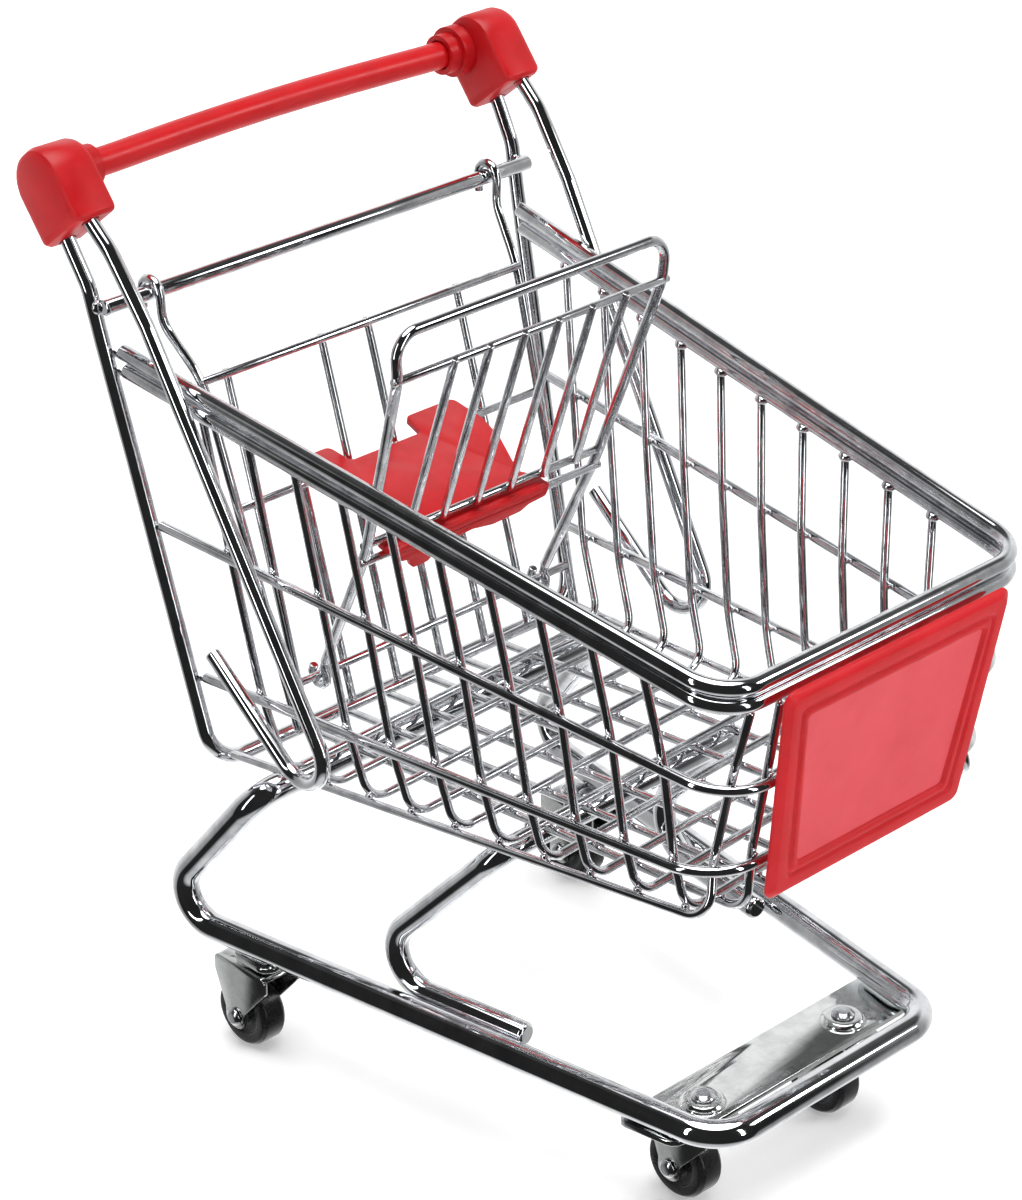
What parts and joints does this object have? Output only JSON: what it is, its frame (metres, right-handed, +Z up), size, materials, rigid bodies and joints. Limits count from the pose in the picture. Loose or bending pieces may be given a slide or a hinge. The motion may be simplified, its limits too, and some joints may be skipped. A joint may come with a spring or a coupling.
{
  "type": "miniature shopping trolley",
  "caption": "Miniature wire shopping trolley for a desk: tapered basket on a bent-rod base with swivel casters, hinged rear gate with fold-up seat, push handle and blank front sign panel.",
  "frame": {"origin": "centre of the overall footprint, on the floor under the wheels", "axes": "+Z up, -Y towards the nose with the sign panel, +Y towards the handle, X = 0 the middle plane"},
  "size_m": [0.0872, 0.1252, 0.1352],
  "materials": {
    "chrome_wire": "bright plated wire",
    "chrome_frame": "bright plated rod",
    "red_plastic": "semi-gloss moulded",
    "red_sign": "semi-gloss moulded, blank",
    "handle_plastic": "semi-gloss sleeve",
    "zinc_stamping": "plated sheet",
    "rivet_steel": "plated",
    "wheel_black": "moulded black"
  },
  "bodies": {
    "frame_and_basket": {"base_frame_rod": "chrome_frame", "brace_rod_left": "chrome_frame", "brace_rod_right": "chrome_frame", "floor_wire_1": "chrome_wire", "floor_wire_2": "chrome_wire", "floor_wire_3": "chrome_wire", "floor_wire_4": "chrome_wire", "floor_wire_5": "chrome_wire", "floor_wire_6": "chrome_wire", "floor_wire_7": "chrome_wire", "floor_wire_8": "chrome_wire", "front_caster_plate": "zinc_stamping", "gate_hinge_rod": "chrome_frame", "handle_cap_left": "red_plastic", "handle_cap_right": "red_plastic", "handle_tube": "handle_plastic", "hoop_wire_01": "chrome_wire", "hoop_wire_02": "chrome_wire", "hoop_wire_03": "chrome_wire", "hoop_wire_04": "chrome_wire", "hoop_wire_05": "chrome_wire", "hoop_wire_06": "chrome_wire", "hoop_wire_07": "chrome_wire", "hoop_wire_08": "chrome_wire", "hoop_wire_09": "chrome_wire", "hoop_wire_10": "chrome_wire", "low_ring": "chrome_wire", "mid_ring": "chrome_wire", "mid_support_rod": "chrome_frame", "rear_caster_plate_left": "zinc_stamping", "rear_caster_plate_right": "zinc_stamping", "rear_frame_rod": "chrome_frame", "rim_rod_lower": "chrome_wire", "rim_rod_upper": "chrome_wire", "sign_panel": "red_sign", "swivel_rivet_front_left": "rivet_steel", "swivel_rivet_front_right": "rivet_steel", "swivel_rivet_rear_left": "rivet_steel", "swivel_rivet_rear_right": "rivet_steel"},
    "gate": {"gate_grille": "chrome_wire"},
    "seat_panel": {"seat_panel_grille": "chrome_wire"},
    "seat_flap": {"seat_plate": "red_plastic"},
    "caster_front_left": {"caster_fork_front_left": "zinc_stamping", "axle_rivet_front_left": "rivet_steel"},
    "wheel_body_front_left": {"wheel_front_left": "wheel_black"},
    "caster_front_right": {"caster_fork_front_right": "zinc_stamping", "axle_rivet_front_right": "rivet_steel"},
    "wheel_body_front_right": {"wheel_front_right": "wheel_black"},
    "caster_rear_left": {"caster_fork_rear_left": "zinc_stamping", "axle_rivet_rear_left": "rivet_steel"},
    "wheel_body_rear_left": {"wheel_rear_left": "wheel_black"},
    "caster_rear_right": {"caster_fork_rear_right": "zinc_stamping", "axle_rivet_rear_right": "rivet_steel"},
    "wheel_body_rear_right": {"wheel_rear_right": "wheel_black"}
  },
  "joints": [
    {"name": "gate_swing", "type": "hinge", "parent": "frame_and_basket", "child": "gate", "pos_m": [0, 0.04779, 0.1138], "axis": [1, 0, 0], "range_deg": [-60, 0]},
    {"name": "seat_panel_fold", "type": "hinge", "parent": "gate", "child": "seat_panel", "pos_m": [0, 0.02623, 0.0585], "axis": [1, 0, 0], "range_deg": [-14, 0]},
    {"name": "seat_flap_tilt", "type": "hinge", "parent": "gate", "child": "seat_flap", "pos_m": [0, 0.0341, 0.0843], "axis": [1, 0, 0], "range_deg": [-6, 0]},
    {"name": "swivel_front_left", "type": "hinge", "parent": "frame_and_basket", "child": "caster_front_left", "pos_m": [-0.0144, -0.04331, 0.0153], "axis": [0, 0, 1], "continuous": true},
    {"name": "wheel_spin_front_left", "type": "hinge", "parent": "caster_front_left", "child": "wheel_body_front_left", "pos_m": [-0.0144, -0.04031, 0.0053], "axis": [1, 0, 0], "continuous": true},
    {"name": "swivel_front_right", "type": "hinge", "parent": "frame_and_basket", "child": "caster_front_right", "pos_m": [0.0144, -0.04331, 0.0153], "axis": [0, 0, 1], "continuous": true},
    {"name": "wheel_spin_front_right", "type": "hinge", "parent": "caster_front_right", "child": "wheel_body_front_right", "pos_m": [0.0144, -0.04031, 0.0053], "axis": [1, 0, 0], "continuous": true},
    {"name": "swivel_rear_left", "type": "hinge", "parent": "frame_and_basket", "child": "caster_rear_left", "pos_m": [-0.0335, 0.02689, 0.0153], "axis": [0, 0, 1], "continuous": true},
    {"name": "wheel_spin_rear_left", "type": "hinge", "parent": "caster_rear_left", "child": "wheel_body_rear_left", "pos_m": [-0.0335, 0.02989, 0.0053], "axis": [1, 0, 0], "continuous": true},
    {"name": "swivel_rear_right", "type": "hinge", "parent": "frame_and_basket", "child": "caster_rear_right", "pos_m": [0.0335, 0.02689, 0.0153], "axis": [0, 0, 1], "continuous": true},
    {"name": "wheel_spin_rear_right", "type": "hinge", "parent": "caster_rear_right", "child": "wheel_body_rear_right", "pos_m": [0.0335, 0.02989, 0.0053], "axis": [1, 0, 0], "continuous": true}
  ],
  "couplings": [
    {"joint": "seat_flap_tilt", "follows": "seat_panel_fold", "ratio": 0.3}
  ]
}
